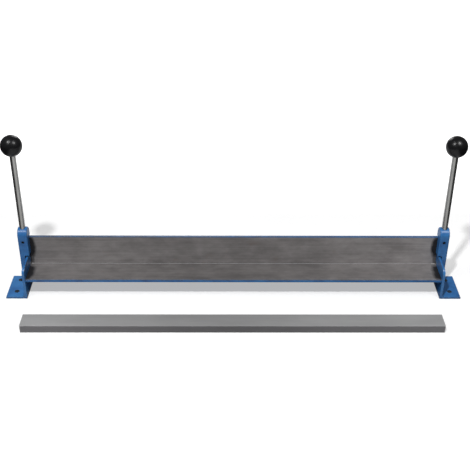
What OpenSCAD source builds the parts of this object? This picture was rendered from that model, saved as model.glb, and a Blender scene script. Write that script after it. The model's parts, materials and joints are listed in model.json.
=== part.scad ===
// Bench folding brake for sheet metal, with its wing folded up to 90 degrees.
// X runs along the bend line, Y from the bed's front edge to the back, Z up from the bench.
// The origin is the centre of the four bolt holes in the feet, on the bench.

/* [Bed and wing] */
// Clear length of the bed between the two end brackets
clear_span = 778; // [450:1:1000]
// Height of the bend line above the bench
axis_h = 40.5; // [36:0.5:50]
// Width of the bed's top, from its front edge to its heel
bed_w = 56; // [45:1:64]
// Width of the wing's bending face
wing_w = 60; // [54:1:90]
// Thickness of the rolled angle that the bed and the wing are cut from
angle_t = 6; // [4:0.5:8]
// Radius of the fillet in the inside corner of that angle
root_r = 7; // [4:0.5:9]
// Radius that rounds the inside edge of its toes
toe_r = 2; // [1:0.5:3.5]
// Radius on its outside edges
edge_r = 0.8; // [0.3:0.1:1.5]
// Radius on the two bending edges, which are kept sharp
heel_r = 0.3; // [0.1:0.1:0.8]
// Gap from the hinge axis to the bed's heel, and to the wing's
heel_gap = 0.3; // [0.3:0.1:1]
// Gap from the hanging legs of the two angles to the bench
bench_gap = 3; // [1:0.5:8]
// Gap between each end of the wing and its bracket
end_gap = 1; // [0.5:0.5:3]

/* [Foot brackets] */
// Thickness of the bracket angle
bracket_t = 4.5; // [4:0.5:8]
// Height of the bracket's upright leg
bracket_h = 64; // [54:1:68]
// Width of the bracket's foot, out from the bed's end
foot_w = 40; // [34:0.5:60]
// Length of the bracket, from front to back
bracket_len = 70; // [66:1:90]
// Distance from the bracket's front end to the middle of its two bolt holes
bolt_lead = 37; // [34:0.5:40]
// Distance from the bracket's rear end to the hinge axis
axis_inset = 10; // [9:0.5:14]
// Radius of the fillet in the bracket's inside corner
bracket_root_r = 6; // [3:0.5:8]
// Radius that rounds the inside edge of the bracket's toes
bracket_toe_r = 2.5; // [1:0.5:3.5]
// Radius on the outer corners of the bracket's foot
saw_r = 1.5; // [0.5:0.5:4]
// Radius that rounds both top corners of the bracket's upright leg
nose_r = 12; // [4:0.5:16]
// Diameter of the bolt holes in the feet
bolt_hole_d = 9; // [6:0.5:12]
// Distance between the two bolt holes in one foot
bolt_pitch = 38; // [30:1:46]

/* [Handle blocks] */
// Width of the handle block along the bend line
block_w = 18; // [16:0.5:26]
// Depth of the handle block, from front to back
block_d = 26; // [23:0.5:32]
// How far the block reaches behind the hinge axis
block_back = 10.5; // [9.5:0.5:12]
// Height of the block's top above the hinge axis
block_rise = 81.5; // [78:0.5:88]
// How far the block reaches below the hinge axis
block_drop = 11; // [9:0.5:16]
// Radius on the block's upright edges, and round the rim of its domed top
block_edge_r = 2; // [1:0.5:2.5]
// Depth of the rebate in the block's inner face that the wing's end is let into
wing_seat = 2; // [1:0.5:3]
// How far the wing turns past upright, in degrees
over_bend = 10; // [0:1:12]
// Clearance between the notch and the bracket when the wing is turned that far
notch_gap = 0.4; // [0.3:0.1:3]
// Radius in the corner of the notch
notch_r = 2; // [0.5:0.5:3]

/* [Pivots] */
// Diameter of the pivot pin
pin_d = 10; // [6:0.5:12]
// Radial running clearance of the pin in the bracket
pin_play = 0.05; // [0.02:0.01:0.1]
// Outside diameter of the spacer washer
washer_d = 20; // [15:0.5:22]
// Thickness of the spacer washer
washer_t = 1; // [0.5:0.1:2]
// Side play between the washer and the bracket
side_play = 0.3; // [0.2:0.1:0.6]

/* [Handles] */
// Diameter of the handle rod
rod_d = 11; // [9:0.5:12]
// Depth of the rod's seat in the block
rod_seat = 36; // [30:1:42]
// Diameter of the ball knob
knob_d = 39; // [32:0.5:50]
// Height of the knob's centre above the hinge axis
knob_rise = 250; // [180:1:320]
// Diameter of the flat under the knob
knob_flat_d = 18; // [16:0.5:22]
// Diameter of the threaded bush in the knob
insert_d = 13; // [11:0.5:15]
// Length of the threaded bush in the knob
insert_l = 20; // [14:0.5:24]
// Diameter of the rod's threaded end
stud_d = 8; // [5:0.5:8]
// Length of the rod's threaded end
stud_l = 16; // [8:0.5:18]
// Diameter of the set screw
screw_d = 6; // [4:0.5:6]
// Height of the set screw above the hinge axis
screw_rise = 56; // [50:0.5:62]
// Width across the flats of the set screw's socket
socket_af = 3; // [2:0.5:3]

/* [Clamp bar] */
// Length of the clamp bar
bar_l = 760; // [430:10:980]
// Width of the clamp bar
bar_w = 35; // [20:1:40]
// Height of the clamp bar
bar_h = 15; // [8:1:25]
// Distance from the brackets' front ends to the bar, lying loose
bar_away = 68.5; // [10:0.5:150]
// Sideways place of the loose bar
bar_shift = -2.5; // [-20:0.5:20]
// Radius along the bar's edges
bar_edge_r = 0.8; // [0.2:0.1:2]

/* [Hidden] */
$fn = 64;

// One overrun serves every cut
over = 1;
// Clearance between pieces that are pressed or screwed together
seat_gap = 0.02;
// Clearance between the rod and its hole
rod_gap = 0.1;
// How far the pin stays back from the bed's end
pin_recess = 0.3;
// Chamfer on the ends of pins, rods and screws
end_chamfer = 0.6;
// How far the set screw lies under the block's face
screw_recess = 1;
// Depth of the spot that the set screw's point bites into
spot_depth = 0.6;
// Depth of the set screw's socket
socket_depth = 2.5;
// Height of the two grooves that lock the bush in the knob
groove_h = 2;
// Depth of those grooves
groove_depth = 0.6;
// Room left above the bush and above the rod's threaded end
blind_gap = 0.5;
// Leg of the weld beads under the bed
bed_bead = 4;
// Length left bare at each end of a weld bead
bead_margin = 3.5;

// Places that follow from the sizes
bracket_front = -bolt_lead;
axis_y = bracket_front + bracket_len - axis_inset;
bed_leg = axis_h - bench_gap;
wing_leg = axis_h - bench_gap;
bracket_x = clear_span / 2;
wing_end_x = bracket_x - end_gap;
bolt_x = bracket_x + (bracket_t + foot_w) / 2;
tongue_x = bracket_x + bracket_t + side_play + washer_t;
block_x = wing_end_x - wing_seat;
rod_x = block_x + block_w / 2;
rod_y = axis_y + block_back - block_d / 2;
block_front = axis_y + block_back - block_d;
block_top = axis_h + block_rise;
knob_z = axis_h + knob_rise;
knob_flat_drop = sqrt(pow(knob_d / 2, 2) - pow(knob_flat_d / 2, 2));
knob_flat_z = knob_z - knob_flat_drop;
screw_z = axis_h + screw_rise;
bed_heel_y = axis_y - heel_gap;
block_ahead = block_d - block_back;
leg_above_axis = bracket_h - axis_h;
front_sweep = (leg_above_axis + block_ahead * sin(over_bend)) / cos(over_bend);
rear_sweep = norm([axis_inset - nose_r, leg_above_axis - nose_r]) + nose_r;
notch_rise = max(front_sweep, rear_sweep) + notch_gap;
block_bead = block_back - angle_t - block_edge_r;

// The waste outside a rounded corner that faces +X and +Y, with the corner at the origin
module corner_waste(r) {
    difference() {
        translate([-r, -r]) square(r + over);
        translate([-r, -r]) circle(r = r);
    }
}

// Section of a rolled angle with its heel at the origin, one leg along +X and one along +Y
module angle_section(leg_x, leg_y, t, root, toe, edge, heel) {
    difference() {
        union() {
            square([leg_x, t]);
            square([t, leg_y]);
            square(t + root);
        }
        translate([t + root, t + root]) circle(r = root);
        rotate(180) corner_waste(heel);
        translate([leg_x, t]) corner_waste(toe);
        translate([t, leg_y]) corner_waste(toe);
        translate([leg_x, 0]) mirror([0, 1]) corner_waste(edge);
        translate([0, leg_y]) mirror([1, 0]) corner_waste(edge);
    }
}

// A rectangle with its lower corner at the origin and a radius of its own at each end
module rounded_plate(size, low_r, high_r) {
    difference() {
        square(size);
        translate(size) corner_waste(high_r);
        translate([0, size[1]]) mirror([1, 0]) corner_waste(high_r);
        rotate(180) corner_waste(low_r);
        translate([size[0], 0]) mirror([0, 1]) corner_waste(low_r);
    }
}

// Stands a section drawn in X and Y up across the X axis, and runs it along +X
module run_along_x(length) {
    rotate([90, 0, 90]) linear_extrude(length) children();
}

// Stands a section drawn in X and Y up across the Y axis, and runs it along +Y
module run_along_y(length) {
    translate([0, length, 0]) rotate([90, 0, 0]) linear_extrude(length) children();
}

// A turned pin along +Z with a chamfer at each end
module turned_pin(d, length, chamfer) {
    rotate_extrude() polygon([
        [0, 0], [d / 2 - chamfer, 0], [d / 2, chamfer],
        [d / 2, length - chamfer], [d / 2 - chamfer, length], [0, length]
    ]);
}

// A convex weld bead along +Z in the corner between the planes X = 0 and Y = 0
module weld_bead(leg, length) {
    intersection() {
        union() {
            translate([0, 0, leg]) cylinder(r = leg, h = length - 2 * leg);
            for (z = [leg, length - leg]) translate([0, 0, z]) sphere(r = leg);
        }
        cube([leg, leg, length]);
    }
}

// Draws the right-hand piece, or its mirror image for the left
module on_side(side) {
    if (side == "left") mirror([1, 0, 0]) children();
    else children();
}

module bed_angle() {
    color("dimgray")
    translate([-bracket_x, bed_heel_y, axis_h])
    run_along_x(clear_span)
    rotate(180) angle_section(bed_w, bed_leg, angle_t, root_r, toe_r, edge_r, heel_r);
}

module wing_angle() {
    color("dimgray")
    translate([-wing_end_x, axis_y, axis_h + heel_gap])
    run_along_x(2 * wing_end_x)
    angle_section(wing_leg, wing_w - heel_gap, angle_t, root_r, toe_r, edge_r, heel_r);
}

module clamp_bar() {
    color("gray")
    translate([bar_shift - bar_l / 2, bracket_front - bar_away - bar_w, 0])
    intersection() {
        run_along_x(bar_l) rounded_plate([bar_w, bar_h], bar_edge_r, bar_edge_r);
        linear_extrude(bar_h) rounded_plate([bar_l, bar_w], bar_edge_r, bar_edge_r);
    }
}

module foot_bracket(side) {
    color("steelblue")
    on_side(side)
    difference() {
        intersection() {
            translate([bracket_x, bracket_front, 0])
            run_along_y(bracket_len)
            angle_section(foot_w, bracket_h, bracket_t, bracket_root_r, bracket_toe_r, edge_r, edge_r);
            translate([bracket_x, bracket_front, 0])
            run_along_x(foot_w) rounded_plate([bracket_len, bracket_h], edge_r, nose_r);
            translate([bracket_x + foot_w, bracket_front, 0])
            rotate(90) linear_extrude(bracket_h) rounded_plate([bracket_len, foot_w], saw_r, edge_r);
        }
        for (y = [-bolt_pitch / 2, bolt_pitch / 2])
            translate([bolt_x, y, -over]) cylinder(d = bolt_hole_d, h = bracket_t + 2 * over);
        translate([bracket_x - over, axis_y, axis_h])
        rotate([0, 90, 0]) cylinder(d = pin_d + 2 * pin_play, h = bracket_t + 2 * over);
    }
}

// The bar that the block is cut from: upright, with a full round over its top
module domed_bar() {
    dome_r = block_d / 2;
    translate([0, 0, -block_drop])
    linear_extrude(block_rise + block_drop - dome_r)
    rounded_plate([block_w, block_d], block_edge_r, block_edge_r);
    translate([0, dome_r, block_rise - dome_r])
    rotate([0, 90, 0])
    rotate_extrude() intersection() {
        translate([-dome_r, 0]) rounded_plate([block_d, block_w], block_edge_r, block_edge_r);
        square([block_d, block_w]);
    }
}

// Front view of the notch that clears the bracket and leaves the tongue beside it
module notch_front_view() {
    notch_w = tongue_x - block_x;
    difference() {
        translate([-over, -block_drop - over])
        square([notch_w + over, block_drop + notch_rise + over]);
        translate([notch_w, notch_rise]) corner_waste(notch_r);
    }
}

module handle_block(side) {
    color("steelblue")
    on_side(side)
    difference() {
        translate([block_x, block_front, axis_h]) domed_bar();
        translate([block_x, block_front - over, axis_h])
        run_along_y(block_d + 2 * over) notch_front_view();
        translate([block_x - over, axis_y, axis_h])
        cube([wing_seat + over, block_back + over, wing_w]);
        translate([rod_x, rod_y, block_top - rod_seat])
        cylinder(d = rod_d + 2 * rod_gap, h = rod_seat + over);
        translate([rod_x, block_front - over, screw_z])
        rotate([-90, 0, 0]) cylinder(d = screw_d + 2 * seat_gap, h = block_d / 2 + over);
        translate([tongue_x - over, axis_y, axis_h])
        rotate([0, 90, 0]) cylinder(d = pin_d + 2 * seat_gap, h = block_w + over);
    }
}

module pivot_pin(side) {
    pin_start = bracket_x + pin_recess;
    color("silver")
    on_side(side)
    translate([pin_start, axis_y, axis_h])
    rotate([0, 90, 0]) turned_pin(pin_d, block_x + block_w - pin_start, end_chamfer);
}

module spacer_washer(side) {
    color("lightgray")
    on_side(side)
    translate([tongue_x - washer_t, axis_y, axis_h])
    rotate([0, 90, 0])
    difference() {
        cylinder(d = washer_d, h = washer_t);
        translate([0, 0, -over]) cylinder(d = pin_d + 2 * pin_play, h = washer_t + 2 * over);
    }
}

module handle_rod(side) {
    foot_z = block_top - rod_seat;
    shank_l = knob_flat_z - foot_z;
    color("silver")
    on_side(side)
    translate([rod_x, rod_y, foot_z])
    difference() {
        rotate_extrude() polygon([
            [0, 0], [rod_d / 2 - end_chamfer, 0], [rod_d / 2, end_chamfer],
            [rod_d / 2, shank_l], [stud_d / 2, shank_l],
            [stud_d / 2, shank_l + stud_l - end_chamfer],
            [stud_d / 2 - end_chamfer, shank_l + stud_l], [0, shank_l + stud_l]
        ]);
        translate([0, spot_depth - rod_d / 2, screw_z - foot_z])
        rotate([90, 0, 0]) cylinder(d = screw_d, h = over);
    }
}

module set_screw(side) {
    screw_l = rod_y - rod_d / 2 + spot_depth - block_front - screw_recess;
    color("dimgray")
    on_side(side)
    translate([rod_x, block_front + screw_recess, screw_z])
    rotate([-90, 0, 0])
    difference() {
        turned_pin(screw_d, screw_l, end_chamfer);
        translate([0, 0, -over])
        cylinder(d = socket_af / cos(30), h = socket_depth + over, $fn = 6);
    }
}

module ball_knob(side) {
    color("black")
    on_side(side)
    translate([rod_x, rod_y, knob_z])
    difference() {
        sphere(d = knob_d);
        translate([0, 0, -knob_flat_drop - knob_d]) cylinder(d = knob_d, h = knob_d);
        translate([0, 0, -knob_flat_drop - over])
        cylinder(d = insert_d + 2 * seat_gap, h = insert_l + blind_gap + over);
    }
}

module knob_insert(side) {
    color("goldenrod")
    on_side(side)
    translate([rod_x, rod_y, knob_flat_z])
    difference() {
        cylinder(d = insert_d, h = insert_l);
        translate([0, 0, -over]) cylinder(d = stud_d + 2 * seat_gap, h = stud_l + blind_gap + over);
        for (z = [insert_l / 3, insert_l * 2 / 3])
            translate([0, 0, z - groove_h / 2])
            difference() {
                cylinder(d = insert_d + over, h = groove_h);
                translate([0, 0, -over]) cylinder(d = insert_d - 2 * groove_depth, h = groove_h + 2 * over);
            }
    }
}

module bed_weld(side) {
    under_z = axis_h - angle_t;
    leg_face_y = bed_heel_y - angle_t;
    fillet_and_toe = root_r + toe_r + 2 * bead_margin;
    under_bead_l = bed_w - angle_t - fillet_and_toe;
    leg_bead_l = bed_leg - angle_t - fillet_and_toe;
    color("steelblue")
    on_side(side) {
        translate([bracket_x, leg_face_y - root_r - bead_margin - under_bead_l, under_z])
        rotate([-90, 90, 0]) weld_bead(bed_bead, under_bead_l);
        translate([bracket_x, leg_face_y, axis_h - bed_leg + toe_r + bead_margin])
        rotate(180) weld_bead(bed_bead, leg_bead_l);
    }
}

module block_weld(side) {
    bead_l = wing_w - toe_r - notch_rise - 2 * bead_margin;
    color("steelblue")
    on_side(side)
    translate([wing_end_x, axis_y + angle_t, axis_h + notch_rise + bead_margin])
    rotate(90) weld_bead(block_bead, bead_l);
}

bed_angle();
wing_angle();
clamp_bar();
foot_bracket("left");  // left_foot_bracket
foot_bracket("right");  // right_foot_bracket
handle_block("left");  // left_handle_block
handle_block("right");  // right_handle_block
pivot_pin("left");  // left_pivot_pin
pivot_pin("right");  // right_pivot_pin
spacer_washer("left");  // left_spacer_washer
spacer_washer("right");  // right_spacer_washer
handle_rod("left");  // left_handle_rod
handle_rod("right");  // right_handle_rod
set_screw("left");  // left_set_screw
set_screw("right");  // right_set_screw
ball_knob("left");  // left_ball_knob
ball_knob("right");  // right_ball_knob
knob_insert("left");  // left_knob_insert
knob_insert("right");  // right_knob_insert
bed_weld("left");  // left_bed_weld
bed_weld("right");  // right_bed_weld
block_weld("left");  // left_block_weld
block_weld("right");  // right_block_weld
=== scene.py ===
"""Looks of the bench folding brake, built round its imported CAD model.

X runs along the bend line, Y from the bed's front edge to the back, Z up from the bench, in metres.
"""

import json
import math

import bpy
from mathutils import Matrix, Vector


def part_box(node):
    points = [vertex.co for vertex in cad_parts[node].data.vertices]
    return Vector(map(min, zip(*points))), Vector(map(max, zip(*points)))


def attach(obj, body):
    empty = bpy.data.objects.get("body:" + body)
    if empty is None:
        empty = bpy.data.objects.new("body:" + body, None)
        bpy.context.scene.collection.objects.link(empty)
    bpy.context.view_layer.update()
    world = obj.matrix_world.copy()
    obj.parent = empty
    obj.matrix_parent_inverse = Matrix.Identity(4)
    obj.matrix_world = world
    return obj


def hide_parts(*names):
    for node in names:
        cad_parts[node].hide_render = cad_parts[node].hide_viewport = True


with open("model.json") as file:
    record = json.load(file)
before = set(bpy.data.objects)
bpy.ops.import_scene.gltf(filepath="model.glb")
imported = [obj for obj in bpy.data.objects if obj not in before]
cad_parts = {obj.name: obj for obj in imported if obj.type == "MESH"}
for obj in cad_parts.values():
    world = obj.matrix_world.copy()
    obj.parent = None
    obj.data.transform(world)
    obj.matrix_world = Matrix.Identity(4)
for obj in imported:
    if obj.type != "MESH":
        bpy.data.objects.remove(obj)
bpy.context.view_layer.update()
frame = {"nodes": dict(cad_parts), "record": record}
bpy.ops.object.select_all(action="DESELECT")

MM = 0.001

# Places read from the CAD nodes. The left pieces mirror the right ones
BED_LOW, BED_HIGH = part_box("bed_angle")
WING_LOW, WING_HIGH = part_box("wing_angle")
BRACKET_LOW, BRACKET_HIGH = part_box("right_foot_bracket")
BLOCK_LOW, BLOCK_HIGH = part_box("right_handle_block")
BAR_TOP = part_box("clamp_bar")[1].z

# Thickness of the bracket's angle and the rounds of its upright leg and of the block's top
PLATE_T = 4.5 * MM
NOSE_R = 12 * MM
BLOCK_DOME_R = 13 * MM


# Shader maths

class Value:
    """An output socket. Sums, differences and products of it add Math nodes."""

    def __init__(self, nodes, socket):
        self.nodes = nodes
        self.socket = socket

    def math(self, operation, *terms, clamp=False):
        settings = {"operation": operation, "use_clamp": clamp}
        return self.nodes.add("ShaderNodeMath", settings, dict(enumerate(terms)))

    def __add__(self, other):
        return self.math("ADD", self, other)

    def __radd__(self, other):
        return self.math("ADD", other, self)

    def __sub__(self, other):
        return self.math("SUBTRACT", self, other)

    def __rsub__(self, other):
        return self.math("SUBTRACT", other, self)

    def __mul__(self, other):
        return self.math("MULTIPLY", self, other)

    def __rmul__(self, other):
        return self.math("MULTIPLY", other, self)

    def above(self, other, soft):
        """1 where this is more than other, 0 where it is less, with a soft step between."""
        return self.math("ADD", (self - other) * (1 / soft), 0.5, clamp=True)

    def below(self, other, soft):
        """1 where this is less than other, 0 where it is more, with a soft step between."""
        return self.math("SUBTRACT", 0.5, (self - other) * (1 / soft), clamp=True)

    def between(self, low, high, soft_low, soft_high):
        """1 from low to high and 0 outside, with a soft step at each."""
        return self.above(low, soft_low).both(self.below(high, soft_high))

    def both(self, other):
        """The less of the two: for masks, where both hold."""
        return self.math("MINIMUM", self, other)

    def either(self, other):
        """The more of the two: for masks, where one of them holds."""
        return self.math("MAXIMUM", self, other)

    def absolute(self):
        return self.math("ABSOLUTE", self)

    def root(self):
        return self.math("SQRT", self)


class Nodes:
    """A node tree. add() makes any node and returns one of its outputs."""

    def __init__(self, tree):
        self.tree = tree
        tree.nodes.clear()

    def feed(self, socket, value):
        if isinstance(value, Value):
            self.tree.links.new(value.socket, socket)
        elif socket.type == "RGBA" and len(value) == 3:
            socket.default_value = (*value, 1)
        else:
            socket.default_value = value

    def add(self, kind, settings=None, sockets=None, output=0):
        """Settings are set first. Sockets are named, or numbered where names repeat."""
        node = self.tree.nodes.new(kind)
        for name, setting in (settings or {}).items():
            if name == "stops":
                self.set_stops(node.color_ramp, setting)
            else:
                setattr(node, name, setting)
        for socket, value in (sockets or {}).items():
            self.feed(node.inputs[socket], value)
        return Value(self, node.outputs[output]) if node.outputs else None

    def set_stops(self, ramp, stops):
        while len(ramp.elements) < len(stops):
            ramp.elements.new(1)
        for element, (place, tone) in zip(ramp.elements, stops):
            element.position = place
            element.color = (*tone, 1) if isinstance(tone, tuple) else (tone, tone, tone, 1)


class Finish(Nodes):
    """A material with one Principled shader."""

    def __init__(self, name, **constants):
        self.material = bpy.data.materials.new(name)
        self.material.use_nodes = True
        super().__init__(self.material.node_tree)
        surface = self.add("ShaderNodeBsdfPrincipled")
        self.shader = surface.socket.node
        self.add("ShaderNodeOutputMaterial", None, {"Surface": surface})
        self.set(**constants)
        self.place = self.add("ShaderNodeTexCoord", output="Object")

    def set(self, **sockets):
        for socket, value in sockets.items():
            self.feed(self.shader.inputs[socket.replace("_", " ")], value)

    def axes(self):
        """The three Object coordinates, one Value each."""
        sockets = {"Vector": self.place}
        return [self.add("ShaderNodeSeparateXYZ", None, sockets, output=axis) for axis in "XYZ"]

    def noise(self, scale, detail, roughness, stretch=None, distortion=0.0):
        """Noise between 0 and 1. A stretch scales each axis, for a pattern that runs one way."""
        vector = self.place
        if stretch:
            sockets = {"Vector": vector, "Scale": stretch}
            vector = self.add("ShaderNodeMapping", {"vector_type": "POINT"}, sockets)
        sockets = {
            "Vector": vector, "Scale": scale, "Detail": detail,
            "Roughness": roughness, "Distortion": distortion,
        }
        return self.add("ShaderNodeTexNoise", None, sockets)

    def ramp(self, value, *stops):
        """A colour ramp. Each stop is a place from 0 to 1 and a colour, or a number for a grey."""
        return self.add("ShaderNodeValToRGB", {"stops": stops}, {"Fac": value})

    def blend(self, factor, low, high, mode="MIX"):
        """A Mix node on colours: low where the factor is 0, high mixed in where it is 1."""
        settings = {"data_type": "RGBA", "blend_type": mode}
        return self.add("ShaderNodeMix", settings, {0: factor, 6: low, 7: high}, output=2)

    def bump(self, height, strength, distance):
        """A bent normal. The distance is in metres."""
        sockets = {"Height": height, "Strength": strength, "Distance": distance}
        return self.add("ShaderNodeBump", None, sockets)


# Finishes

PAINT_BLUE = (0.028, 0.142, 0.375)
PAINT_LIGHT = (0.040, 0.185, 0.440)
PAINT_DEEP = (0.018, 0.092, 0.265)
PAINT_DUST = (0.16, 0.28, 0.42)
PAINT_THIN = (0.090, 0.220, 0.450)
# Painted shade on the walls of the bolt holes
HOLE_SHADE = (0.004, 0.018, 0.040)
RUBBED_GREY = (0.092, 0.100, 0.113)
CHIP_STEEL = (0.130, 0.125, 0.120)
RUST = (0.190, 0.115, 0.085)
# Colour of the painted dark reflections beside the end pieces
END_REFLECTION_DARK = (0.008, 0.008, 0.010)
BAR_SPECK = (0.14, 0.12, 0.10)

# Tones that darken or lighten what is under them, as painted shade or painted sheen
FOOT_SIDE_SHADE = (0.50, 0.55, 0.60)
SHEEN_AND_HEEL_LIFT = (2.0, 2.0, 2.02)
BAR_SIDE_SHADE = (0.50, 0.49, 0.51)
BAR_MIDDLE_SHADE = (0.65, 0.65, 0.65)


def paint_tone(finish):
    """The colour of the blue paint, uneven as a brushed or dipped coat is."""
    cloud = finish.noise(34, 4, 0.55)
    tone = finish.ramp(cloud, (0.30, PAINT_DEEP), (0.50, PAINT_BLUE), (0.70, PAINT_LIGHT))
    dust = finish.noise(420, 5, 0.7)
    specks = finish.ramp(dust, (0.60, 0.0), (0.74, 1.0))
    return finish.blend(specks * 0.12, tone, PAINT_DUST)


def paint_height(finish):
    """Orange peel and a few runs."""
    peel = finish.noise(560, 2, 0.5)
    wave = finish.noise(90, 2, 0.5)
    return peel * 0.35 + wave * 0.65


def bolt_hole(finish):
    """1 on the walls of the four bolt holes in the feet, where shade is painted."""
    bolts = frame["record"]["mounts"][0]["dims"]
    x, y, z = finish.axes()
    u = x.absolute() - bolts["spacing_x_mm"] / 2 * MM
    v = y.absolute() - bolts["spacing_y_mm"] / 2 * MM
    inside = (u * u + v * v).root().below(bolts["hole_r_mm"] * MM + 0.15 * MM, 0.3 * MM)
    return inside.both(z.below(BRACKET_LOW.z + 8 * MM, 1 * MM))


def rim(inward, through, thickness):
    """1 along the edges of a plate, from a place's depths in from its outline and from one face."""
    width = 0.8 * MM
    soft = 0.9 * MM
    near_face = through.both(thickness - through)
    return inward.below(width, soft).both(near_face.below(width, soft))


def arched(y, z, low, high, corner_r):
    """Depth in from the outline of an upright plate whose two top corners are rounded."""
    u = (y - (low.y + high.y) / 2).absolute() - ((high.y - low.y) / 2 - corner_r)
    v = z - (high.z - corner_r)
    past_u = u.either(0)
    past_v = v.either(0)
    outward = (past_u * past_u + past_v * past_v).root() + u.either(v).both(0)
    return (corner_r - outward).both(z - low.z)


def bracket_edges(reach, y, z):
    """1 along the edges of the upright leg and the foot. reach is the distance out from the middle."""
    inward = arched(y, z, BRACKET_LOW, BRACKET_HIGH, NOSE_R)
    upright = rim(inward, reach - BRACKET_LOW.x, PLATE_T)
    in_from_sides = (y - BRACKET_LOW.y).both(BRACKET_HIGH.y - y)
    foot = rim(in_from_sides.both(BRACKET_HIGH.x - reach), z, PLATE_T)
    return upright.either(foot)


def block_edges(reach, y, z):
    """1 along the edges of the handle block."""
    inward = arched(y, z, BLOCK_LOW, BLOCK_HIGH, BLOCK_DOME_R)
    return rim(inward, reach - BLOCK_LOW.x, BLOCK_HIGH.x - BLOCK_LOW.x)


def no_edges(reach, y, z):
    """A weld bead has no edges."""
    return 0.0


def blue_paint(name, edges):
    """Semi-gloss paint, thin and chipped along the edges, with painted shade on the feet's sides and in
    the bolt holes.
    """
    finish = Finish(name, IOR=1.5, Specular_IOR_Level=0.42, Coat_IOR=1.4, Coat_Roughness=0.22)
    x, y, z = finish.axes()
    edge = edges(x.absolute(), y, z)
    # The bolt holes' walls get painted shade
    tone = finish.blend(bolt_hole(finish), paint_tone(finish), HOLE_SHADE)
    # Painted shade on the lowest few millimetres, which darkens the feet's sides
    low_shade = z.below(BRACKET_LOW.z + 3.6 * MM, 0.5 * MM) * 0.7
    tone = finish.blend(low_shade, tone, FOOT_SIDE_SHADE, mode="MULTIPLY")
    thin = finish.ramp(finish.noise(110, 5, 0.65), (0.38, 0.0), (0.62, 1.0)) * edge
    tone = finish.blend(thin * 0.50, tone, PAINT_THIN)
    chipping = finish.noise(230, 6, 0.62) + thin * 0.115
    chips = finish.ramp(chipping, (0.695, 0.0), (0.715, 1.0))
    scuffs = finish.ramp(finish.noise(35, 6, 0.7, stretch=(1, 1, 3)), (0.60, 0.0), (0.80, 1.0))
    height = paint_height(finish) - chips * 0.8
    finish.set(Base_Color=finish.blend(chips, tone, CHIP_STEEL),
               Metallic=chips * 0.7,
               Roughness=0.38 + scuffs * 0.14,
               Coat_Weight=0.12 - chips * 0.12,
               Normal=finish.bump(height, 0.25, 0.0006))
    return finish.material


def mill_steel(finish, low, high):
    """Bare rolled steel: its tone, how light it is from 0 to 1, and its faint streaks along X."""
    clouds = finish.noise(9, 5, 0.6, stretch=(1, 2.6, 2.6))
    patches = finish.noise(34, 4, 0.62, stretch=(1, 1.8, 1.8))
    streaks = finish.noise(60, 4, 0.65, stretch=(0.10, 6, 6))
    share = clouds * 0.40 + patches * 0.35 + streaks * 0.25
    return finish.ramp(share, (0.40, low), (0.60, high)), share, streaks


def working_face(name, bare, worn, patch, bright, low, high):
    """Bare steel on a working face, blue paint everywhere else on the angle.

    bare, worn, patch and bright say where: each gives a mask from 0 to 1. low and high are the
    steel's darkest and lightest tones. The steel is painted lighter towards both ends, most on the
    right: a painted sheen. patch gives painted dark reflections beside the end pieces.
    """
    finish = Finish(name, IOR=1.5, Specular_IOR_Level=0.30, Coat_IOR=1.4, Coat_Roughness=0.22)
    x, y, z = finish.axes()
    ragged = (finish.noise(420, 4, 0.6) - 0.5) * (0.9 * MM)
    face = bare(y, z, ragged)
    tone, share, streaks = mill_steel(finish, low, high)
    spots = finish.noise(75, 6, 0.68, stretch=(0.6, 1, 1))
    rust = finish.ramp(spots, (0.60, 0.0), (0.74, 1.0))
    tone = finish.blend(rust * 0.22, tone, RUST)
    reach = x.absolute()
    # Painted sheen: lighter towards both ends and most on the right; bright() adds the wing's lighter heel
    sheen_and_heel_lift = reach.above(0.24, 0.26) * 0.22 + x.above(0.18, 0.34) * 0.26 + bright(z)
    tone = finish.blend(sheen_and_heel_lift, tone, SHEEN_AND_HEEL_LIFT, mode="MULTIPLY")
    # Painted dark reflections of the end pieces, with less metal and more roughness there
    dark = patch(reach, y, z, finish.noise(70, 3, 0.55) - 0.5)
    tone = finish.blend(dark * 0.97, tone, END_REFLECTION_DARK)
    rubs = finish.noise(160, 5, 0.65, stretch=(0.3, 1, 1))
    rubbed = worn(x, y, z) * finish.ramp(rubs, (0.30, 0.55), (0.60, 1.0))
    paint = finish.blend(rubbed * 0.8, paint_tone(finish), RUBBED_GREY)
    bare_height = streaks * 0.7 + finish.noise(900, 3, 0.6, stretch=(0.08, 1, 1)) * 0.3
    height = paint_height(finish) * (1 - face) + bare_height * face * 0.6
    finish.set(Base_Color=finish.blend(face, paint, tone),
               Metallic=face * (0.30 - dark * 0.30) + rubbed * (1 - face) * 0.3,
               Roughness=0.38 + face * (0.10 + share * 0.14 + dark * 0.25),
               Coat_Weight=0.12 - face * 0.12,
               Normal=finish.bump(height, 0.30, 0.0005))
    return finish.material


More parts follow.
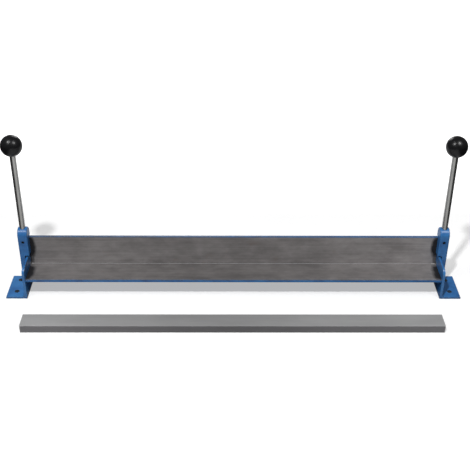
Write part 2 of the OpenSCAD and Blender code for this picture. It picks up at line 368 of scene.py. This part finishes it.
def bar_steel():
    """Drawn steel, with painted shade on the bar's sides and in the middle of its length."""
    finish = Finish("bar_steel", Specular_IOR_Level=0.40)
    clouds = finish.noise(7, 4, 0.55, stretch=(1, 3, 3))
    lines = finish.noise(150, 4, 0.6, stretch=(0.04, 5, 5))
    share = clouds * 0.6 + lines * 0.4
    tone = finish.ramp(share, (0.34, (0.305, 0.305, 0.307)), (0.66, (0.395, 0.395, 0.397)))
    specks = finish.ramp(finish.noise(380, 5, 0.6), (0.68, 0.0), (0.76, 1.0))
    x, y, z = finish.axes()
    top = z.above(BAR_TOP - 0.5 * MM, 0.4 * MM)
    # Painted shade: the sides darker than the top
    tone = finish.blend(1 - top, tone, BAR_SIDE_SHADE, mode="MULTIPLY")
    middle = x.absolute().below(0.17, 0.30) * (1 - top * 0.3)
    # Painted shade: darker in the middle of the length
    tone = finish.blend(middle, tone, BAR_MIDDLE_SHADE, mode="MULTIPLY")
    finish.set(Base_Color=finish.blend(specks * 0.5, tone, BAR_SPECK),
               Metallic=0.08 + top * 0.14,
               Roughness=0.40 + share * 0.16,
               Normal=finish.bump(lines, 0.3, 0.0003))
    return finish.material


def pin_steel():
    """Dark steel of the pivot pins and washers."""
    finish = Finish("pin_steel", Metallic=0.3)
    cloud = finish.noise(140, 4, 0.6)
    finish.set(Base_Color=finish.ramp(cloud, (0.3, (0.024, 0.025, 0.028)), (0.7, (0.055, 0.055, 0.057))),
               Roughness=0.34 + cloud * 0.2,
               Normal=finish.bump(cloud, 0.15, 0.0002))
    return finish.material


def rod_steel():
    """Bright steel of the handle rods, drawn along their length."""
    finish = Finish("rod_steel")
    lines = finish.noise(90, 3, 0.55, stretch=(9, 9, 0.10))
    blotches = finish.noise(26, 4, 0.6)
    share = lines * 0.6 + blotches * 0.4
    tone = finish.ramp(share, (0.34, (0.33, 0.33, 0.32)), (0.66, (0.44, 0.44, 0.43)))
    finish.set(Base_Color=tone,
               Metallic=1.0 - blotches * 0.1,
               Roughness=0.12 + blotches * 0.12,
               Normal=finish.bump(lines, 0.15, 0.0001))
    return finish.material


def black_steel():
    """Black oxide of the set screws."""
    finish = Finish("black_steel", Metallic=0.8)
    cloud = finish.noise(300, 4, 0.6)
    finish.set(Base_Color=finish.ramp(cloud, (0.3, (0.018, 0.018, 0.020)), (0.7, (0.045, 0.043, 0.042))),
               Roughness=0.36 + cloud * 0.15,
               Normal=finish.bump(cloud, 0.2, 0.0002))
    return finish.material


def black_knob():
    """Glossy moulding of the ball knobs, a little smeared by hands."""
    finish = Finish("black_knob", IOR=1.5, Specular_IOR_Level=0.34)
    cloud = finish.noise(60, 4, 0.6)
    tone = finish.ramp(cloud, (0.3, (0.0030, 0.0030, 0.0036)), (0.7, (0.0060, 0.0060, 0.0068)))
    smears = finish.noise(22, 5, 0.7, distortion=0.6)
    finish.set(Base_Color=tone,
               Roughness=0.25 + smears * 0.12,
               Normal=finish.bump(cloud, 0.05, 0.0002))
    return finish.material


def bush_brass():
    """Turned brass of the bushes in the knobs."""
    finish = Finish("bush_brass", Metallic=1.0)
    grain = finish.noise(900, 3, 0.5)
    finish.set(Base_Color=finish.ramp(grain, (0.3, (0.52, 0.36, 0.15)), (0.7, (0.72, 0.52, 0.24))),
               Roughness=0.25 + grain * 0.15,
               Normal=finish.bump(grain, 0.2, 0.0002))
    return finish.material


def bed_is_bare(y, z, ragged):
    """The bed's top, from just behind its front edge to its heel."""
    top = z.above(BED_HIGH.z - 0.45 * MM, 0.2 * MM)
    behind_edge = (y + ragged).above(BED_LOW.y + 0.9 * MM, 0.3 * MM)
    return top.both(behind_edge)


def wing_is_bare(y, z, ragged):
    """The wing's front, from its heel to just under its top edge."""
    front = y.below(WING_LOW.y + 0.45 * MM, 0.2 * MM)
    under_edge = (z + ragged).below(WING_HIGH.z - 1.3 * MM, 0.3 * MM)
    return front.both(under_edge)


def bed_is_worn(x, y, z):
    """A thin line along the top of the bed's front edge."""
    return z.above(BED_HIGH.z - 1.2 * MM, 0.8 * MM)


def wing_is_worn(x, y, z):
    """The wing's top edge, rubbed grey by hands and clamps, most of all on the left."""
    return z.above(WING_HIGH.z - 1.0 * MM, 0.6 * MM) * (1.05 - x.above(0.10, 0.60) * 0.50)


def bed_is_bright(z):
    """The bed's face is level, so it is as bright all over."""
    return 0.0


def wing_is_bright(z):
    """The wing's face is made lighter towards its heel."""
    return (WING_HIGH.z - z) * (0.30 / (WING_HIGH.z - WING_LOW.z))


def oval(across, along, middle, half_across, half_along, ragged):
    """1 in the middle of an oval, fading out towards its ragged rim."""
    u = across * (1 / half_across)
    v = (along - middle) * (1 / half_along)
    return (u * u + v * v + ragged * 1.3).below(1.0, 1.0)


def bed_patch(reach, y, z, ragged):
    """Painted dark reflection on the bed beside each bracket."""
    middle = (BED_LOW.y + BED_HIGH.y) / 2 - 3 * MM
    return oval(BED_HIGH.x - reach, y, middle, 13 * MM, 27 * MM, ragged)


def wing_patch(reach, y, z, ragged):
    """Painted dark reflection on the wing beside each handle block, trailing down towards the heel."""
    inward = BLOCK_LOW.x - reach
    core = oval(inward, z, WING_HIGH.z - 22 * MM, 10 * MM, 25 * MM, ragged)
    trail = oval(inward, z, WING_HIGH.z - 40 * MM, 5 * MM, 30 * MM, ragged)
    return core.either(trail * 0.75)


bead_paint = blue_paint("bead_paint", no_edges)
pivot_steel = pin_steel()
end_finishes = {
    "foot_bracket": blue_paint("bracket_paint", bracket_edges),
    "handle_block": blue_paint("block_paint", block_edges),
    "bed_weld": bead_paint,
    "block_weld": bead_paint,
    "pivot_pin": pivot_steel,
    "spacer_washer": pivot_steel,
    "handle_rod": rod_steel(),
    "set_screw": black_steel(),
    "ball_knob": black_knob(),
    "knob_insert": bush_brass(),
}
finishes = {
    # Painted light: the wing's steel tones are lighter than the bed's, to make up for the less light on
    # its upright face
    "bed_angle": working_face(
        "bed_steel", bed_is_bare, bed_is_worn, bed_patch, bed_is_bright,
        low=(0.110, 0.104, 0.103), high=(0.182, 0.172, 0.170)),
    "wing_angle": working_face(
        "wing_steel", wing_is_bare, wing_is_worn, wing_patch, wing_is_bright,
        low=(0.150, 0.142, 0.141), high=(0.238, 0.226, 0.224)),
    "clamp_bar": bar_steel(),
}
for side in ("left", "right"):
    for piece, material in end_finishes.items():
        finishes[f"{side}_{piece}"] = material


# Pieces modelled here: rippled weld beads and moulded ball knobs

# Step from drop to drop along a bead, and the voxels that fuse the drops
BED_BEAD_PITCH = 1.5 * MM
BED_BEAD_VOXEL = 0.25 * MM
BLOCK_BEAD_PITCH = 1.1 * MM
BLOCK_BEAD_VOXEL = 0.17 * MM
# Length of the bed's root left bare between its two beads
BED_ROOT_BARE = 10.5 * MM

# Seam round the knob's middle, broken edge of its flat and seat of its bush
SEAM_HALF_W = 0.35 * MM
SEAM_DEPTH = 0.06 * MM
FLAT_BEVEL = 0.45 * MM
SEAT_GAP = 0.02 * MM
SEAT_SPARE_DEPTH = 0.2 * MM
# How far off a height a point may lie and still count as level with it
LEVEL_ERROR = 0.01 * MM


def finish_piece(name, node, body):
    """Names the active object, applies its place, gives it the node's finish, hides the node and hangs the
    piece on the given body.
    """
    piece = bpy.context.object
    piece.name = name
    piece.data.name = name
    bpy.ops.object.transform_apply(location=True, rotation=True, scale=True)
    piece.data.materials.clear()
    piece.data.materials.append(finishes[node])
    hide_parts(node)
    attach(piece, body)
    piece.select_set(False)


def weld_drops(start, end, out, leg, pitch):
    """A row of flattened drops in the corner line from start to end. out points out of the corner."""
    start, end, out = Vector(start), Vector(end), Vector(out).normalized()
    along = (end - start).normalized()
    count = round((end - start).length / pitch)
    drops = []
    for step in range(count):
        # Two sine waves out of step keep neighbouring drops from looking alike
        uneven = math.sin(step * 2.4) + 0.6 * math.sin(step * 5.3 + 1)
        size = leg * (1 + 0.03 * uneven)
        tilt = math.radians(22 + 4 * uneven)
        lean = along * math.cos(tilt) + out * math.sin(tilt)
        crown = out * math.cos(tilt) - along * math.sin(tilt)
        turn = Matrix((crown, lean.cross(crown), lean)).transposed()
        place = start + along * pitch * (step + 0.5) + out * size * 0.16
        bpy.ops.mesh.primitive_uv_sphere_add(segments=28, ring_count=18, radius=1, location=place)
        drop = bpy.context.object
        drop.rotation_euler = turn.to_euler()
        drop.scale = (size * 0.62, size * 0.78, size * 0.40)
        drops.append(drop)
    return drops


def join_drops(drops, voxel):
    """Makes one rippled bead of the drops, and leaves it active."""
    bpy.ops.object.select_all(action="DESELECT")
    for drop in drops:
        drop.select_set(True)
    bpy.context.view_layer.objects.active = drops[0]
    bpy.ops.object.join()
    bpy.ops.object.transform_apply(location=True, rotation=True, scale=True)
    bead = bpy.context.object
    fuse = bead.modifiers.new("fuse", "REMESH")
    fuse.mode = "VOXEL"
    fuse.voxel_size = voxel
    fuse.use_smooth_shade = True
    bpy.ops.object.modifier_apply(modifier=fuse.name)
    soften = bead.modifiers.new("soften", "SMOOTH")
    soften.factor = 0.5
    soften.iterations = 2
    bpy.ops.object.modifier_apply(modifier=soften.name)


def bed_bead(side, sign):
    """Along the bed's underside and down its hanging leg, in the corners with the bracket."""
    low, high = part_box("right_bed_weld")
    leg = high.x - low.x
    corner_x = sign * high.x
    under_start = (corner_x, low.y, high.z)
    under_end = (corner_x, high.y - BED_ROOT_BARE, high.z)
    down_start = (corner_x, high.y, low.z)
    down_end = (corner_x, high.y, high.z - BED_ROOT_BARE)
    drops = weld_drops(under_start, under_end, (-sign, 0, -1), leg, BED_BEAD_PITCH)
    drops += weld_drops(down_start, down_end, (-sign, -1, 0), leg, BED_BEAD_PITCH)
    join_drops(drops, BED_BEAD_VOXEL)
    finish_piece(f"{side}_bed_bead", f"{side}_bed_weld", "base")


def block_bead(side, sign):
    """Up the wing's back, in the corner with the handle block."""
    low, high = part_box("right_block_weld")
    leg = high.x - low.x
    corner_x = sign * high.x
    start = (corner_x, low.y, low.z)
    end = (corner_x, low.y, high.z)
    drops = weld_drops(start, end, (-sign, 1, 0), leg, BLOCK_BEAD_PITCH)
    join_drops(drops, BLOCK_BEAD_VOXEL)
    finish_piece(f"{side}_block_bead", f"{side}_block_weld", "wing")


def pick(piece, wanted):
    """Selects the faces that wanted() picks, in edit mode."""
    bpy.ops.mesh.select_all(action="DESELECT")
    bpy.ops.object.mode_set(mode="OBJECT")
    for face in piece.data.polygons:
        face.select = wanted(face)
    bpy.ops.object.mode_set(mode="EDIT")


def pick_ring(piece, height):
    """Selects the ring of edges that lies level at a height, in edit mode."""
    bpy.ops.mesh.select_all(action="DESELECT")
    bpy.ops.object.mode_set(mode="OBJECT")
    points = piece.data.vertices
    for edge in piece.data.edges:
        edge.select = all(abs(points[end].co.z - height) < LEVEL_ERROR for end in edge.vertices)
    bpy.ops.object.mode_set(mode="EDIT")


def ball_knob(side, sign):
    """A moulded ball with a flat under it, a seat for its bush and a faint seam round its middle."""
    low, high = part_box("right_ball_knob")
    bush_low, bush_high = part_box("right_knob_insert")
    ball_r = (high.x - low.x) / 2
    middle_z = high.z - ball_r
    centre = (sign * (low.x + high.x) / 2, (low.y + high.y) / 2, middle_z)
    bush_r = (bush_high.x - bush_low.x) / 2
    bpy.ops.mesh.primitive_uv_sphere_add(segments=96, ring_count=64, radius=ball_r, location=centre)
    bpy.ops.object.transform_apply(location=True, rotation=True, scale=True)
    knob = bpy.context.object
    flat_r = math.sqrt(ball_r ** 2 - (middle_z - low.z) ** 2)
    bpy.ops.object.mode_set(mode="EDIT")
    bpy.ops.mesh.select_mode(type="EDGE")
    pick_ring(knob, middle_z)
    bpy.ops.mesh.bevel(offset=SEAM_HALF_W, segments=2)
    pick_ring(knob, middle_z)
    bpy.ops.transform.shrink_fatten(value=-SEAM_DEPTH)
    bpy.ops.mesh.select_all(action="SELECT")
    bpy.ops.mesh.bisect(plane_co=(0, 0, low.z), plane_no=(0, 0, 1), clear_inner=True, use_fill=True)
    pick_ring(knob, low.z)
    bpy.ops.mesh.bevel(offset=FLAT_BEVEL, segments=3)
    bpy.ops.mesh.select_mode(type="FACE")
    pick(knob, lambda face: face.center.z < low.z + LEVEL_ERROR)
    bpy.ops.mesh.inset(thickness=flat_r - FLAT_BEVEL - bush_r - SEAT_GAP)
    seat_depth = bush_high.z - bush_low.z + SEAT_SPARE_DEPTH
    bpy.ops.mesh.extrude_region_move(TRANSFORM_OT_translate={"value": (0, 0, seat_depth)})
    bpy.ops.mesh.select_all(action="SELECT")
    bpy.ops.mesh.normals_make_consistent(inside=False)
    bpy.ops.object.mode_set(mode="OBJECT")
    bpy.ops.object.shade_smooth_by_angle(angle=math.radians(35))
    finish_piece(f"{side}_knob", f"{side}_ball_knob", "wing")


for side, sign in (("left", -1), ("right", 1)):
    bed_bead(side, sign)
    block_bead(side, sign)
    ball_knob(side, sign)

for name, material in finishes.items():
    node = frame["nodes"][name]
    node.data.materials.clear()
    node.data.materials.append(material)


# Floor, light and camera

FLOOR_SIZE = 14
# Half the width of the white sheet that metal and gloss show in their reflections
SHEET_HALF_W = 0.50
# Strength of the world's light on the object
WORLD_LIGHT = 0.15
# The lamps are aimed here
CENTRE = (0, 0, 0.06)


def white_floor():
    """A white floor that keeps the shadows.

    The camera sees a base that takes the shadows, and a glow that lifts the lit floor to white.
    """
    bpy.ops.mesh.primitive_plane_add(size=FLOOR_SIZE)
    floor = bpy.context.object
    floor.name = "floor"
    finish = Finish("floor_white", Roughness=0.9, Specular_IOR_Level=0.0)
    x, y, z = finish.axes()
    side = x.absolute()
    camera = finish.add("ShaderNodeLightPath", output="Is Camera Ray")
    glossy = finish.add("ShaderNodeLightPath", output="Is Glossy Ray")
    mirror = glossy.either(finish.add("ShaderNodeLightPath", output="Is Transmission Ray"))
    sheet = side.below(SHEET_HALF_W, 0.16)
    away = side.above(0.78, 0.25).either(y.absolute().above(0.36, 0.16))
    # Under the brake, where reflections show no white
    covered = side.below(BED_HIGH.x, 2 * MM).both(y.between(BED_LOW.y, WING_HIGH.y, 10 * MM, 2 * MM))
    # Painted shade under the feet, seen through their bolt holes
    across_foot = side.between(BED_HIGH.x, BRACKET_HIGH.x - 2 * MM, 1 * MM, 1 * MM)
    along_foot = y.between(BRACKET_LOW.y + 2 * MM, BRACKET_HIGH.y - 2 * MM, 1 * MM, 1 * MM)
    feet = across_foot.both(along_foot)
    # Painted shade behind the bed, seen through the gap along the bend line
    behind = side.below(BED_HIGH.x + 12 * MM, 12 * MM).both(y.between(30 * MM, 112 * MM, 30 * MM, 30 * MM))
    seen_base = camera * (0.60 + x.above(0.30, 0.40) * 0.05) * (1 - feet * 0.97)
    other_base = (1 - camera) * (0.05 + sheet * 0.21)
    seen_glow = camera * (0.43 + away * 0.57) * (1 - feet) * (1 - behind * 0.85)
    mirror_glow = mirror * sheet * (1 - covered) * 0.50
    finish.set(Base_Color=finish.ramp(seen_base + other_base, (0.0, 0.0), (1.0, 1.0)),
               Emission_Color=finish.ramp(seen_glow + mirror_glow, (0.0, 0.0), (1.0, 1.0)),
               Emission_Strength=1.0)
    floor.data.materials.append(finish.material)


def studio_light(name, place, size, power, glossy=True, diffuse=True):
    """A round lamp aimed at the middle of the brake. Its size is in metres, its power in watts."""
    lamp = bpy.data.lights.new(name, "AREA")
    lamp.shape = "DISK"
    lamp.size = size
    lamp.energy = power
    holder = bpy.data.objects.new(name, lamp)
    bpy.context.scene.collection.objects.link(holder)
    holder.location = place
    holder.rotation_euler = (Vector(CENTRE) - Vector(place)).to_track_quat("-Z", "Y").to_euler()
    holder.visible_glossy = glossy
    holder.visible_diffuse = diffuse
    holder.visible_camera = False


def studio_world():
    """A weak even light all round, which the camera sees as white."""
    world = bpy.data.worlds.new("studio")
    world.use_nodes = True
    nodes = Nodes(world.node_tree)
    camera = nodes.add("ShaderNodeLightPath", output="Is Camera Ray")
    strength = WORLD_LIGHT + camera * (1 - WORLD_LIGHT)
    background = nodes.add("ShaderNodeBackground", None, {"Color": (1, 1, 1), "Strength": strength})
    nodes.add("ShaderNodeOutputWorld", None, {"Surface": background})
    bpy.context.scene.world = world


white_floor()
studio_world()
# The key's place comes from the photograph's shadows. The sheens show only in reflections
studio_light("key", (-0.356, -1.191, 2.106), 0.13, 45, glossy=False)
studio_light("soft_left", (-0.92, -0.73, 1.944), 0.60, 6.5)
studio_light("soft_right", (0.92, -0.73, 1.944), 0.60, 6.5)
studio_light("sheen_left", (-0.90, -0.75, 1.90), 0.50, 15, diffuse=False)
studio_light("sheen_right", (0.90, -0.75, 1.90), 0.50, 15, diffuse=False)
studio_light("soft_back", (-0.25, 2.30, 0.90), 0.90, 9)

# Place and angles solved from the photograph's edges, with the focal length in its pixels
CAMERA_PLACE = (-0.0148, -1.3952, 0.9774)
CAMERA_DOWN = 31.607
CAMERA_YAW = 0.675
CAMERA_ROLL = 0.437
FOCAL_PX = 883.9
PHOTO_PX = 470


def photo_camera():
    lens = bpy.data.cameras.new("camera")
    lens.sensor_width = 36
    lens.lens = lens.sensor_width * FOCAL_PX / PHOTO_PX
    lens.clip_start = 0.05
    camera = bpy.data.objects.new("camera", lens)
    bpy.context.scene.collection.objects.link(camera)
    turn = Matrix.Rotation(math.radians(-CAMERA_YAW), 3, "Z")
    tilt = Matrix.Rotation(math.radians(90 - CAMERA_DOWN), 3, "X")
    roll = Matrix.Rotation(math.radians(CAMERA_ROLL), 3, "Z")
    camera.rotation_euler = (turn @ tilt @ roll).to_euler()
    camera.location = CAMERA_PLACE
    bpy.context.scene.camera = camera


photo_camera()

view = bpy.context.scene.view_settings
view.view_transform = "Standard"
